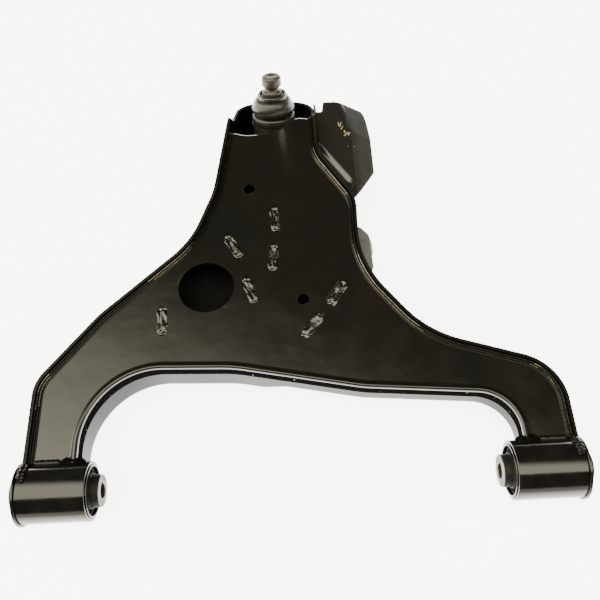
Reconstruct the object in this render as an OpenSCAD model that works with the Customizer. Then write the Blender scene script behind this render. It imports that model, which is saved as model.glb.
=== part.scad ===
// Stamped steel lower control arm with two rubber pivot bushings and a pressed-in ball joint.
// Frame: origin on the pivot line midway between the bushings, +X along the pivot line towards the
// front bushing, +Y outboard towards the ball joint, +Z up, the way the ball stud points.

/* [Arm shells] */
// Distance between the centres of the two pivot bushings
bushing_spread = 446; // [440:1:450]
// Thickness of the pressed steel sheet
sheet = 3.2; // [2.6:0.1:3.6]
// Height of the lower shell's rim above the pivot line
rim_z = 16; // [14:0.5:18]
// Height of the upper shell's outer face above the pivot line
plate_z = 12; // [11:0.5:13]
// Depth of the lower shell's floor below the pivot line
floor_z = 30; // [28:0.5:32]
// Depth of the floor under the rear leg, where the pan is drawn deeper
belly_z = 42; // [36:1:46]

/* [Pivot bushings] */
// Length of each welded bushing tube
tube_len = 62; // [58:1:66]
// Outer diameter of the bushing tube
tube_d = 54; // [53:0.5:56]
// Wall of the bushing tube
tube_wall = 3; // [2.5:0.5:3.5]
// Outer diameter of the cartridge flange
flange_d = 58; // [57:0.5:62]
// Outer diameter of the inner sleeve
sleeve_d = 29.5; // [28:0.5:31]
// Bore of the inner sleeve, for an M14 bolt
sleeve_bore = 14.5; // [14.2:0.1:16.5]
// Length of the inner sleeve
sleeve_len = 82; // [78:1:86]

/* [Ball joint] */
// Outboard distance of the ball centre from the pivot line
ball_y = 439; // [437:0.5:441]
// Lean of the ball joint's axis, outboard from straight up
ball_tilt = 22; // [20:0.5:23]
// Diameter of the ball
ball_d = 32; // [30:0.5:32]
// Diameter of the stud's pinch pin
pin_d = 23; // [22:0.5:23]

/* [Brackets] */
// Reach of the bump stop bracket in front of the arm's centre line
bump_x = 101.5; // [99:0.5:104]
// Height of the bump stop bracket's face, relative to the pivot line
bump_z = -2; // [-4:0.5:2]

/* [Hidden] */
$fn = 48;
gap = 0.05;        // clearance between faces that only touch
run = 0.05;        // radial running clearance
black = "#1c1c1c";
ball_x = -14;      // the ball joint sits behind the arm's centre line
ball_z = -22;      // the outboard end droops, so the ball is below the pivot line
half = bushing_spread / 2;
tube_r = tube_d / 2;
arc_step = 9;      // degrees of a corner's arc per straight facet
skirt_z = -3;      // lower edge of the upper shell's skirt in the arch
droop_y = 402;     // where the floor starts to droop, square to the ball joint
end_y = 484;       // just past the arm's outboard end
// The drooping floor's outer face, measured along the ball joint's axis from the ball centre
boss_low = (droop_y - ball_y) * sin(ball_tilt) - (floor_z + ball_z) * cos(ball_tilt);

// ---------- the arm's outline, anticlockwise: [x, y, corner radius] ----------
// Its legs end past the pivot line's near side and are coped to the bushing tubes.
OUTLINE = [
    [255, 4, 1], [255, 96, 50], [132, 137, 105], [71.5, 219, 115],
    [74, 302, 50], [35, 368, 55], [35, 477, 30],
    [-57, 477, 28], [-62, 438, 5], [-67, 424, 5], [-83, 318, 110], [-107, 254, 105], [-197, 172.5, 90],
    [-254, 103, 36], [-254, 4, 1], [-205, 4, 1],
    [-205, 115, 72], [-62, 108.3, 150], [64, 82.2, 150], [206, 69.2, 38], [206, 4, 1]
];
ARCH_FIRST = 15;   // the outline's edges from here to ARCH_LAST bound the arch between the legs
ARCH_LAST = 19;
function is_arch(i) = i >= ARCH_FIRST && i <= ARCH_LAST;
// Distance that each edge moves inwards: d round the outside, a along the arch
function insets(d, a) = [for (i = [0:len(OUTLINE) - 1]) is_arch(i) ? a : d];

function unit(v) = v / norm(v);
function left(v) = [-v[1], v[0]];
function xy(p) = [p[0], p[1]];
function edge_dir(P, i) = unit(xy(P[(i + 1) % len(P)]) - xy(P[i]));
function turn(u, v) = u[0] * v[1] - u[1] * v[0];
// Vertex i of an outline whose edges have moved inwards by D
function moved(P, D, i) =
    let (n = len(P), h = (i + n - 1) % n,
        a = left(edge_dir(P, h)), b = left(edge_dir(P, i)), s = turn(a, b),
        dx = (D[h] * b[1] - D[i] * a[1]) / s, dy = (a[0] * D[i] - b[0] * D[h]) / s,
        r = P[i][2] - sign(s) * (D[h] + D[i]) / 2)
    [P[i][0] + dx, P[i][1] + dy, max(r, 0.4)];
function inset(P, D) = [for (i = [0:len(P) - 1]) moved(P, D, i)];
// The corner at vertex i as points on its arc
function corner(P, i) =
    let (n = len(P), u = edge_dir(P, (i + n - 1) % n), v = edge_dir(P, i), s = turn(u, v),
        w = sign(s), f = acos(min(1, max(-1, u * v))), r = P[i][2],
        start = xy(P[i]) - u * r * tan(f / 2), c = start + left(u) * w * r,
        k = max(2, ceil(f / arc_step)), a0 = atan2(-w * left(u)[1], -w * left(u)[0]))
    [for (j = [0:k]) c + r * [cos(a0 + w * f * j / k), sin(a0 + w * f * j / k)]];
function rounded(P) = [for (i = [0:len(P) - 1]) each corner(P, i)];

module outline(d = 0, a = 0) { polygon(rounded(inset(OUTLINE, insets(d, a)))); }
module plan(d, a, z0, z1) { translate([0, 0, z0]) linear_extrude(z1 - z0) outline(d, a); }

// A Y-Z outline as a slab across the whole arm
module side_slab(points) {
    rotate([90, 0, 90]) translate([0, 0, -300]) linear_extrude(600) polygon(points);
}
// An X-Z outline as a slab along the whole arm
module end_slab(points) {
    rotate([90, 0, 0]) translate([0, 0, -500]) linear_extrude(560) polygon(points);
}
module along_x(x0, x1, r) { translate([x0, 0, 0]) rotate([0, 90, 0]) cylinder(r = r, h = x1 - x0); }
module in_ball_frame() { translate([ball_x, ball_y, ball_z]) rotate([-ball_tilt, 0, 0]) children(); }
// Place a bushing part, drawn along +X with its flange outboard, at the front or rear
module at_front() { translate([half, 0, 0]) children(); }
module at_rear() { mirror([1, 0, 0]) translate([half, 0, 0]) children(); }

// Room that the two bushing tubes, and the cartridge flanges at their outer ends, take out of the legs
module tube_cope() {
    for (s = [-1, 1]) translate([s * half - tube_len, 0, 0]) along_x(0, 2 * tube_len, tube_r + gap);
    for (s = [0, 1]) mirror([s, 0, 0]) along_x(half + tube_len / 2, half + tube_len, flange_d / 2 + gap);
}

// ---------- lower shell ----------
module drawn_pan(d, a, up, top) {
    droop = droop_y + up * tan(ball_tilt / 2);
    end_z = -floor_z - (end_y - droop_y) * tan(ball_tilt);
    union() {
        intersection() {
            plan(d, a, -80, 60);
            side_slab([[-10, up - floor_z], [droop, up - floor_z], [end_y, end_z + up / cos(ball_tilt)],
                [end_y, top], [-10, top]]);
        }
        intersection() {
            plan(d, a, -80, 60);
            side_slab([[14 + up, -20], [36 + up, up - belly_z], [220 - up, up - belly_z], [262 - up, -20]]);
            end_slab([[-300, -20], [-300, up - belly_z], [-34 - up, up - belly_z], [8 - up, -20]]);
        }
    }
}
module lower_shell() color(black) difference() {
    drawn_pan(0, sheet + gap, 0, rim_z);
    drawn_pan(sheet, 2 * sheet + gap, sheet, 40);
    // the rim falls away round the ball joint, and in the arch the upper shell covers the wall
    side_slab([[424, rim_z], [430, 3], [end_y, -24.7], [end_y, 60], [424, 60]]);
    in_arch(plate_z - sheet - gap);
    tube_cope();
    in_ball_frame() translate([0, 0, -40]) cylinder(r = housing_r + gap, h = 60);
    for (p = DRAINS) translate([p[0], p[1], -60]) cylinder(r = p[2], h = 40);
}
DRAINS = [[-86, 150, 10], [120, 110, 6], [-225, 90, 6]];   // drain holes in the floor: x, y, radius

// ---------- upper shell ----------
ACCESS = [-89.5, 201, 29];                         // access hole: x, y, radius
GAUGE_HOLES = [[-43.5, 323, 6], [10.5, 181.5, 6]];  // tooling holes: x, y, radius
// plug welds: x, y, angle from +X, rib they bite into
PLUGS = [[-15.5, 281, 92], [-18.5, 233, 84], [-61, 249, 118], [-44, 195, 108],
    [-133.5, 165, 93], [18.5, 152, 50], [46, 186.5, 56]];
plug_len = 34;
plug_w = 10;
// The mouth that the upper shell leaves open round the ball joint
MOUTH = [[-90, 405], [-60, 404.5], [-50, 401], [-40, 400], [-24, 402.5], [-8, 403.5], [0, 409],
    [10, 418], [18, 421], [50, 421], [50, 490], [-90, 490]];
ARCH_ZONE = [[-231, 0], [-231, 82], [-196, 128], [-150, 140], [-60, 138], [80, 108], [160, 104],
    [210, 90], [231, 62], [231, 0]];
// Everything above z0 inside the mouth, or along the arch
module in_mouth() { translate([0, 0, -20]) linear_extrude(60) polygon(MOUTH); }
module in_arch(z0 = -40) { translate([0, 0, z0]) linear_extrude(80) polygon(ARCH_ZONE); }
module slot(l, w, h) {
    linear_extrude(h) union() {
        square([l - w, w], center = true);
        for (s = [-1, 1]) translate([s * (l - w) / 2, 0]) circle(r = w / 2);
    }
}
module upper_shell() color(black) difference() {
    union() {
        plan(sheet + gap, sheet, plate_z - sheet, plate_z);
        intersection() {
            difference() {
                plan(sheet + gap, 0, skirt_z, rim_z);
                plan(sheet + gap, sheet, skirt_z - 1, plate_z - sheet);
                plan(0, sheet, plate_z, rim_z + 1);
            }
            in_arch();
        }
    }
    in_mouth();
    for (h = [ACCESS, each GAUGE_HOLES]) translate([h[0], h[1], -20]) cylinder(r = h[2], h = 60);
    for (p = PLUGS) translate([p[0], p[1], 0]) rotate(p[2]) slot(plug_len, plug_w, 40);
    tube_cope();
}

// ---------- welds of the shells ----------
bead = 4.5;
// Bead in the groove between the upper shell and the lower shell's wall
module rim_weld() color(black) difference() {
    plan(sheet + gap, 0, plate_z + gap, plate_z + 3);
    plan(sheet + bead, -1, plate_z - 1, plate_z + 4);
    in_arch();
    in_mouth();
    tube_cope();
}
// Bead under the skirt's lower edge, against the arch wall
module arch_weld() color(black) difference() {
    intersection() {
        plan(0, 0.4, skirt_z - 4.5, skirt_z - gap);
        in_arch();
    }
    plan(sheet, sheet, skirt_z - 6, skirt_z + 1);
    tube_cope();
}
module plug_welds() color("#2a2622") for (p = PLUGS) translate([p[0], p[1], plate_z - sheet])
    rotate(p[2]) slot(plug_len - 2 * gap, plug_w - 2 * gap, sheet + 0.8);

// ---------- inner ribs, one under each run of plug welds ----------
rib_foot = 14;
// From (x0, y0) to (x1, y1), with a foot under the upper shell and a web down to the floor
module rib(x0, y0, x1, y1, depth) {
    translate([x0, y0, 0]) rotate(atan2(y1 - y0, x1 - x0)) {
        l = norm([x1 - x0, y1 - y0]);
        top = plate_z - sheet - gap;
        union() {
            translate([0, -rib_foot / 2, top - sheet]) cube([l, rib_foot, sheet]);
            translate([0, rib_foot / 2 - sheet, gap + sheet - depth])
                cube([l, sheet, top + depth - sheet - gap]);
        }
    }
}
module inner_rib_front() color(black) rib(1, 131, 62, 207, floor_z);
module inner_rib_middle() color(black) rib(-19.5, 208, -14, 306, floor_z);
module inner_rib_rear() color(black) rib(-37, 174, -71, 268, floor_z);
module inner_rib_leg() color(black) rib(-133, 141, -134.5, 189, belly_z);

// ---------- pivot bushings, drawn along +X about their own centre ----------
shell_r = tube_r - tube_wall;
shell_wall = 1.8;
flange_t = 2.5;
rubber_or = shell_r - shell_wall;
module ring_x(x0, x1, r0, r1) { difference() { along_x(x0, x1, r1); along_x(x0 - 1, x1 + 1, r0); } }
module revolved_x(points) { rotate([0, 90, 0]) rotate_extrude() polygon(points); }
module bushing_tube() color(black) ring_x(-tube_len / 2, tube_len / 2, shell_r, tube_r);
module bushing_shell() color(black) union() {
    ring_x(-tube_len / 2 - 1.2, tube_len / 2 + flange_t, rubber_or, shell_r - 0.01);
    ring_x(tube_len / 2 + gap, tube_len / 2 + flange_t, rubber_or, flange_d / 2);
}
// Rubber with a moulded hollow in each end face
module bushing_rubber() color("#151515")
    let (e = tube_len / 2 - 2, i = sleeve_d / 2 + run, o = rubber_or - 0.01)
    revolved_x([[i, -e - 3], [i + 1.5, -e - 3], [i + 3, -e + 7], [o - 2.5, -e + 7], [o - 1, -e], [o, -e],
        [o, e], [o - 1, e], [o - 2.5, e - 7], [i + 3, e - 7], [i + 1.5, e + 3], [i, e + 3]]);
module inner_sleeve() color("#8d8d8a") let (e = sleeve_len / 2, r = sleeve_d / 2, b = sleeve_bore / 2)
    revolved_x([[b, -e + 0.8], [b + 0.8, -e], [r - 1, -e], [r, -e + 1], [r, e - 1], [r - 1, e], [b + 0.8, e],
        [b, e - 0.8]]);
// Fillet beads where a leg's coped end meets its tube: up both walls, and across the upper shell.
// side is 1 for the front leg and -1 for the rear one, outer and inner are its walls' distances.
weld_r = 2.4;
module tube_weld(side, outer, inner) color(black) {
    r = tube_r + 0.6;
    top = asin((rim_z - 2) / r);
    difference() {
        for (x = [outer - 0.5, inner + 0.5]) translate([side * x, 0, 0]) rotate([0, 90, 0])
            rotate([0, 0, 180 - top]) mirror([0, 1, 0]) rotate_extrude(angle = top + 50)
                translate([r, 0]) circle(r = weld_r, $fn = 24);
        plan(-2 * gap, -2 * gap, -80, 60);
        tube_cope();
    }
    difference() {
        mirror([side < 0 ? 1 : 0, 0, 0])
            translate([0, sqrt(r * r - plate_z * plate_z) + 1, plate_z + weld_r + gap])
            along_x(inner + 8, outer - 10, weld_r);
        tube_cope();
    }
}
module front_bushing_tube() at_front() bushing_tube();
module rear_bushing_tube() at_rear() bushing_tube();
module front_bushing_shell() at_front() bushing_shell();
module rear_bushing_shell() at_rear() bushing_shell();
module front_bushing_rubber() at_front() bushing_rubber();
module rear_bushing_rubber() at_rear() bushing_rubber();
module front_inner_sleeve() at_front() inner_sleeve();
module rear_inner_sleeve() at_rear() inner_sleeve();
module front_tube_weld() tube_weld(1, 255, 206);
module rear_tube_weld() tube_weld(-1, 254, 205);

// ---------- brackets on the front wall: [x, y, corner radius], first edge along the wall ----------
BUMP = [[20, 441, 1], [20, 306, 1], [73, 311, 4], [82, 322, 10], [bump_x, 357, 10], [bump_x, 408, 30],
    [bump_x - 2, 441, 8], [bump_x - 5.5, 456, 5], [46.8, 456, 2], [44.5, 441, 1]];
bend_x = 80.5;     // the pad bends down beyond this line, and beyond a second one that starts here at bend_y
bend_y = 405;
bend_fall = 0.7;   // fall of the bent edge per unit outwards
module beside_arm() { difference() { children(); plan(-gap, -gap, -80, 60); } }
// Everything under a roof that is level up to x = 0 and falls beyond it
module under_roof(top) {
    end_slab([[-200, -60], [-200, top], [0, top], [60, top - 60 * bend_fall], [60, -60]]);
}
module bump_block(top) {
    intersection() {
        translate([0, 0, -60]) linear_extrude(60 + top) polygon(rounded(BUMP));
        translate([bend_x, 0, 0]) under_roof(top);
        translate([bend_x, bend_y, 0]) rotate(18) translate([0, -250, 0]) under_roof(top);
    }
}
module bump_stop_bracket() color("#242424") beside_arm() difference() {
    bump_block(bump_z);
    bump_block(bump_z - sheet);
}
module bump_stop_weld() color(black) beside_arm() intersection() {
    plan(-3.2, -3.2, bump_z + gap, bump_z + 3.2);
    translate([0, 0, bump_z]) linear_extrude(5) polygon(rounded(BUMP));
}
SIDE = [[60, 288, 1], [60, 216, 1], [84, 221, 5], [89.5, 232, 6], [88, 274, 6], [80, 284, 4]];
side_z = -20;
module side_tab(z0, z1, grow) {
    translate([0, 0, z0]) linear_extrude(z1 - z0) polygon(rounded(inset(SIDE, [for (p = SIDE) -grow])));
}
module side_bracket() color("#3a3a38") beside_arm() side_tab(side_z - sheet, side_z, 0);
module side_bracket_weld() color(black) beside_arm() intersection() {
    plan(-2.5, -2.5, side_z + gap, side_z + 2.5);
    side_tab(side_z, side_z + 5, 0);
}

// ---------- ball joint, drawn about the ball centre with the stud along +Z ----------
ball_r = ball_d / 2;
pin_r = pin_d / 2;
housing_r = 25;
neck_r = pin_r - 0.3;  // the shank that the boot's collar wipes
cavity_r = 19.5;
seat_top = 7;
flange_z = boss_low - gap;   // top of the housing's flange, against the floor's underside
ring_z = boss_low + sheet + gap;  // underside of the retaining ring, on the floor
module turned(points) { in_ball_frame() rotate_extrude() polygon(points); }
module ball_joint_housing() color("#2b2b2b") turned([[cavity_r, flange_z - 5], [28.5, flange_z - 5],
    [28.5, flange_z], [housing_r, flange_z], [housing_r, ring_z], [23.5, ring_z], [23.5, ring_z + 2.1],
    [housing_r, ring_z + 2.1], [housing_r, 4], [22.5, 5.5], [22.5, 11.5], [23.5, 12], [23.5, 13.5],
    [20.5, 13.5], [15, seat_top + gap], [cavity_r, seat_top + gap]]);
module housing_retaining_ring() color("#4a4a48") in_ball_frame() translate([0, 0, ring_z + gap])
    difference() {
        cylinder(r = 27.8, h = 2);
        translate([0, 0, -1]) cylinder(r = 23.5 + gap, h = 4);
        translate([0, -4, -1]) cube([40, 8, 4]);
    }
module ball_joint_cover() color("#5a5a58") turned([[0, flange_z - 5], [cavity_r - gap, flange_z - 5],
    [cavity_r - gap, flange_z - 2.5], [12, flange_z - 2.5], [9, flange_z - 3.5], [0, flange_z - 3.5]]);
module ball_seat() color("#d8d4c4") in_ball_frame() difference() {
    translate([0, 0, flange_z - 2.4]) cylinder(r = cavity_r - gap, h = seat_top - flange_z + 2.4);
    sphere(r = ball_r + run, $fn = 96);
    translate([0, 0, -40]) cylinder(r = 2.5, h = 40);
}
module ball_stud() color("#77756c") in_ball_frame() union() {
    sphere(r = ball_r, $fn = 96);
    rotate_extrude() polygon([[0, 0], [8.5, 0], [8.5, 24], [neck_r, 35], [neck_r, 43.9], [pin_r, 44.2],
        [pin_r, 46.4], [8.7, 49], [8.7, 51.6], [pin_r, 54.2], [pin_r, 62.2], [pin_r - 2.5, 65.2], [0, 65.2]]);
}
// The boot: two rubber convolutions between a clamp ring, a waist ring and a stiff collar
module boot_lower() color("#262626") turned([[22.6, 6], [25.2, 6], [25.4, 8], [26.3, 13], [24.6, 18.6],
    [21.6, 18.6], [22.4, 17], [24, 13], [24, 12.1], [22.6, 11.4]]);
module boot_lower_ring() color("#3c3c3a") turned([[25.5, 6.5], [26.7, 6.5], [26.7, 8], [25.5, 8]]);
module boot_waist_ring() color("#1a1a1a") turned([[21.6, 18.7], [23.4, 18.7], [23.4, 20.7], [21.6, 20.7]]);
module boot_upper() color("#262626") turned([[21.6, 20.8], [24.4, 20.8], [25.6, 25], [24, 31], [20.6, 36.9],
    [17.4, 38.2], [17.4, 36.2], [19, 35.4], [21.8, 30], [23, 25]]);
module boot_collar() color("#1e1e1e") turned([[neck_r + run, 37.2], [17.2, 37.2], [17.2, 38.4], [14.4, 38.4],
    [14.4, 40.4], [12.8, 42], [neck_r + run, 42]]);
module boot_collar_ring() color("#4c4c4a") turned([[14.5, 38.5], [17.4, 38.5], [17.4, 43], [16.2, 43.6],
    [14.5, 42.6]]);

lower_shell();
upper_shell();
rim_weld();
arch_weld();
plug_welds();
inner_rib_front();
inner_rib_middle();
inner_rib_rear();
inner_rib_leg();
front_bushing_tube();
rear_bushing_tube();
front_tube_weld();
rear_tube_weld();
front_bushing_shell();
rear_bushing_shell();
front_bushing_rubber();
rear_bushing_rubber();
front_inner_sleeve();
rear_inner_sleeve();
bump_stop_bracket();
bump_stop_weld();
side_bracket();
side_bracket_weld();
ball_joint_housing();
housing_retaining_ring();
ball_joint_cover();
ball_seat();
boot_lower();
boot_lower_ring();
boot_waist_ring();
boot_upper();
boot_collar();
boot_collar_ring();
ball_stud();
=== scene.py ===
"""The looks of the stamped lower control arm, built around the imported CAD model. Lengths are in
millimetres in the part's own frame: +X along the pivot line, +Y outboard, +Z up."""

import math

import bmesh
import bpy
import numpy as np
from mathutils import Matrix, Vector, geometry, noise


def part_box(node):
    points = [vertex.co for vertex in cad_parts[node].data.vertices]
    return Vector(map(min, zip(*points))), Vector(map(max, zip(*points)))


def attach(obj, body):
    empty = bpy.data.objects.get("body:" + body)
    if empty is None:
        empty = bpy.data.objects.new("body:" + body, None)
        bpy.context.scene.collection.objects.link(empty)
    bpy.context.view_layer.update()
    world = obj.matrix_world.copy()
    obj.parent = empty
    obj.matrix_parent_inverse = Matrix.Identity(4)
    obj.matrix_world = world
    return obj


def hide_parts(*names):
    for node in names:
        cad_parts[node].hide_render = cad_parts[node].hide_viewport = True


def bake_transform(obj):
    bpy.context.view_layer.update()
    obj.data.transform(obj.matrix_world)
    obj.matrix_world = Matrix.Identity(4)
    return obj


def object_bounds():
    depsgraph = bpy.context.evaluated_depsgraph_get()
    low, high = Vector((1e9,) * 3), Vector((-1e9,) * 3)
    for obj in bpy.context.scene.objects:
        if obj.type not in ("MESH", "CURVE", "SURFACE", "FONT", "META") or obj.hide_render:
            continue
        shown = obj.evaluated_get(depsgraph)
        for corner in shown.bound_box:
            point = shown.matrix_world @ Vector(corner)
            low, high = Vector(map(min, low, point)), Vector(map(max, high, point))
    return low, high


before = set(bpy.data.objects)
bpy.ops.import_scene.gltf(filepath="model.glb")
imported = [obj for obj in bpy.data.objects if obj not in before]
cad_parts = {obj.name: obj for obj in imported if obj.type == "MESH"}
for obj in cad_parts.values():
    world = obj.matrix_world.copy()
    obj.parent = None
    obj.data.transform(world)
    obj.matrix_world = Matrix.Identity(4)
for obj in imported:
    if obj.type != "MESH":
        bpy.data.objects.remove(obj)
CAD_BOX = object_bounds()
MM = 0.001


def span(node):
    """Lowest and highest corner of a CAD node, in millimetres."""
    low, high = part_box(node)
    return np.array(low) / MM, np.array(high) / MM


# ---------- sizes ----------
SHEET = 3.2  # thickness of the pressings
TRIANGLE = 0.866  # how far apart rows of even triangles are, per side
FIT = 0.05  # clearance between faces that only touch
RIM_Z = span("lower_shell")[1][2]  # top of the lower shell's wall
PLATE_Z = RIM_Z - 4  # top of the upper shell
SKIRT_Z = span("upper_shell")[0][2]  # lower edge of the upper shell's skirt
TUBE_LOW, TUBE_HIGH = span("front_bushing_tube")
TUBE_R = TUBE_HIGH[2]
TUBE_MID = (TUBE_LOW[0] + TUBE_HIGH[0]) / 2
TUBE_HALF = (TUBE_HIGH[0] - TUBE_LOW[0]) / 2
COPE_R = TUBE_R + FIT
LEG_END_Y = 4  # where the outline's legs stop, inside the tubes
COPE_Y = 34  # the legs are fitted to the tubes below this
FLOOR_Z = -30  # outer face of the lower shell's floor
BELLY_Z = -42  # the deeper floor under the rear leg
DROOP_Y = 402  # the floor falls beyond this, square to the ball joint
TILT = math.radians(22)
BALL = Vector((-14, 439, -22))  # centre of the ball
BALL_R = 15.85  # a little free of its seat

# The arm's outline, anticlockwise: [x, y, corner radius]
OUTLINE = [
    (255, 4, 1), (255, 96, 50), (132, 137, 105), (71.5, 219, 115), (74, 302, 50), (35, 368, 55),
    (35, 477, 30), (-57, 477, 28), (-62, 438, 30), (-67, 424, 30), (-83, 318, 110), (-107, 254, 105),
    (-197, 172.5, 90), (-254, 103, 36), (-254, 4, 1), (-205, 4, 1), (-205, 115, 72), (-62, 108.3, 150),
    (64, 82.2, 150), (206, 69.2, 38), (206, 4, 1),
]
OUTER = (0, 13)  # first and last edge of the outer side
ARCH = (15, 19)  # and of the arch between the legs
FRONT_END_Y, REAR_END_Y = 420, 403.5  # where the plate's outer side meets its mouth
# The plate's edge at the ball joint, from front to rear
MOUTH = [(32, 421), (18, 421), (10, 418), (0, 409), (-8, 403.5), (-24, 402.5), (-40, 400), (-50, 401),
         (-60, 404.5), (-66, 405)]
# Round holes: [x, y, radius]
ACCESS = (-89.5, 201, 29)
GAUGE_HOLES = [(-43.5, 323, 6), (10.5, 181.5, 6)]
DRAINS = [(-86, 150, 10), (120, 110, 6), (-225, 90, 6)]
# Slots for the plug welds: [x, y, angle]
PLUGS = [(-15.5, 281, 92), (-18.5, 233, 84), (-61, 249, 118), (-44, 195, 108), (-133.5, 165, 93),
         (18.5, 152, 50), (46, 186.5, 56)]
PLUG_LEN, PLUG_W = 34, 10


def linked(name, data):
    """A new object of the scene."""
    obj = bpy.data.objects.new(name, data)
    bpy.context.scene.collection.objects.link(obj)
    return obj


# ---------- plane geometry ----------
def outline_path(first, last, step):
    """Points along edges first to last of the outline, and the unit vectors that point inwards there."""
    count = len(OUTLINE)
    corner = [np.array(p[:2], float) for p in OUTLINE]

    def direction(i):
        d = corner[(i + 1) % count] - corner[i % count]
        return d / np.linalg.norm(d)

    points, inwards = [], []
    here = corner[first]
    for i in range(first, last + 1):
        u = direction(i)
        side = np.array([-u[1], u[0]])
        back = 0
        if i < last:
            v = direction(i + 1)
            r = OUTLINE[(i + 1) % count][2]
            sense = math.copysign(1, u[0] * v[1] - u[1] * v[0])
            swing = math.acos(min(1, max(-1, float(u @ v))))
            back = r * math.tan(swing / 2)
        end = corner[(i + 1) % count] - u * back
        pieces = max(1, round(float(np.linalg.norm(end - here)) / step))
        for k in range(pieces):
            points.append(here + (end - here) * k / pieces)
            inwards.append(side)
        here = end
        if i < last:
            centre = end + side * sense * r
            start = math.atan2(-sense * side[1], -sense * side[0])
            pieces = max(2, math.ceil(swing * r / step))
            for k in range(pieces + 1):
                a = start + sense * swing * k / pieces
                here = centre + r * np.array([math.cos(a), math.sin(a)])
                if k < pieces:
                    points.append(here)
                    inwards.append((centre - here) / r * sense)
    points.append(here)
    inwards.append(side)
    return np.array(points), np.array(inwards)


def softened(points):
    """The open polyline with its corners cut twice, as a smooth curve."""
    for _ in range(2):
        cut = [points[0]]
        for a, b in zip(points[:-1], points[1:]):
            cut += [a * 0.75 + b * 0.25, a * 0.25 + b * 0.75]
        points = np.array(cut + [points[-1]])
    return points


def circle(x, y, r, count=40, squeeze=1.0):
    turn = np.linspace(0, 2 * math.pi, count, endpoint=False)
    return np.stack([x + r * np.cos(turn), y + r * squeeze * np.sin(turn)], 1)


def stadium(x, y, angle, length, width, count=14):
    """An oblong with round ends."""
    r, half = width / 2, (length - width) / 2
    turn = np.linspace(-math.pi / 2, math.pi / 2, count)
    right = np.stack([half + r * np.cos(turn), r * np.sin(turn)], 1)
    sides = np.linspace(half, -half, 7)[1:-1]
    top = np.stack([sides, np.full(5, r)], 1)
    loop = np.concatenate([right, top, -right, -top])
    a = math.radians(angle)
    spin = np.array([[math.cos(a), math.sin(a)], [-math.sin(a), math.cos(a)]])
    return loop @ spin + np.array([x, y])


def inside(points, loop):
    """Which points lie in the closed loop."""
    x, y = points[:, 0], points[:, 1]
    hit = np.zeros(len(points), bool)
    for (x0, y0), (x1, y1) in zip(loop, np.roll(loop, -1, 0)):
        crosses = (y0 > y) != (y1 > y)
        if y1 != y0:
            hit ^= crosses & (x < (x1 - x0) * (y - y0) / (y1 - y0) + x0)
    return hit


def smooth_step(t):
    t = np.clip(t, 0, 1)
    return t * t * (3 - 2 * t)


def soft_min(a, b, blend):
    """The smaller of two heights, with the corner between them rounded."""
    h = np.clip(0.5 + 0.5 * (b - a) / blend, 0, 1)
    return b * (1 - h) + a * h - blend * h * (1 - h)


def waves(points, size, seed):
    """Smooth random heights of about -1 to 1, with bumps of that size."""
    return np.array([noise.noise(Vector((x / size, y / size, seed * 7.3))) for x, y in points])


def nearest(points, loop):
    """The squared distance from each point to the nearest of the loop's points."""
    return np.array([((loop - p) ** 2).sum(1).min() for p in points])


# ---------- mesh building ----------
def filled(outer, holes, spacing, clear, collars=()):
    """The region between the outer loop and its holes, as points and triangles. collars are loops of
    extra points, such as those close round a hole."""
    low, high = outer.min(0), outer.max(0)
    rows = np.arange(low[1], high[1], spacing * TRIANGLE)
    grid = [(x + (spacing / 2 if k % 2 else 0), y)
            for k, y in enumerate(rows) for x in np.arange(low[0], high[0], spacing)]
    grid = np.array(grid)
    loops = [outer] + holes
    keep = inside(grid, outer)
    for hole in holes:
        keep &= ~inside(grid, hole)
    grid = grid[keep]
    edge = np.concatenate(loops)
    grid = grid[nearest(grid, edge) > clear * clear]
    if collars:
        ring = np.concatenate(collars)
        grid = np.concatenate([grid[nearest(grid, ring) > clear * clear], ring])
    points = [Vector(p) for p in np.concatenate([edge, grid])]
    links, first = [], 0
    for loop in loops:
        links += [(first + i, first + (i + 1) % len(loop)) for i in range(len(loop))]
        first += len(loop)
    points, _, faces, *_ = geometry.delaunay_2d_cdt(points, links, [], 0, 1e-5)
    points = np.array([tuple(p) for p in points])
    middle = np.array([points[list(f)].mean(0) for f in faces])
    keep = inside(middle, outer)
    for hole in holes:
        keep &= ~inside(middle, hole)
    return points, [tuple(f) for f, k in zip(faces, keep) if k]


def cope(co):
    """Fits the legs' ends, in place, to the bushing tubes."""
    level = np.sqrt(np.clip(COPE_R ** 2 - co[:, 2] ** 2, LEG_END_Y ** 2, None))
    reach = np.clip((COPE_Y - co[:, 1]) / (COPE_Y - LEG_END_Y), 0, 1)
    co[:, 1] += (level - LEG_END_Y) * reach
    return co


def quads(rows, count, ring=False, loop=False):
    """Faces between the points of a grid. ring joins each row's ends, and loop the last row to the first."""
    faces = []
    for k in range(rows if loop else rows - 1):
        n = (k + 1) % rows
        for i in range(count if ring else count - 1):
            j = (i + 1) % count
            faces.append((k * count + i, k * count + j, n * count + j, n * count + i))
    return faces


def strip(path, inwards, depth, height):
    """A ribbon of quads along a path. depth and height have one row per line of the ribbon."""
    rows, count = len(depth), len(path)
    co = np.zeros((rows, count, 3))
    for k in range(rows):
        co[k, :, :2] = path + inwards * np.broadcast_to(depth[k], count)[:, None]
        co[k, :, 2] = height[k]
    return co.reshape(-1, 3), quads(rows, count)


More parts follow.
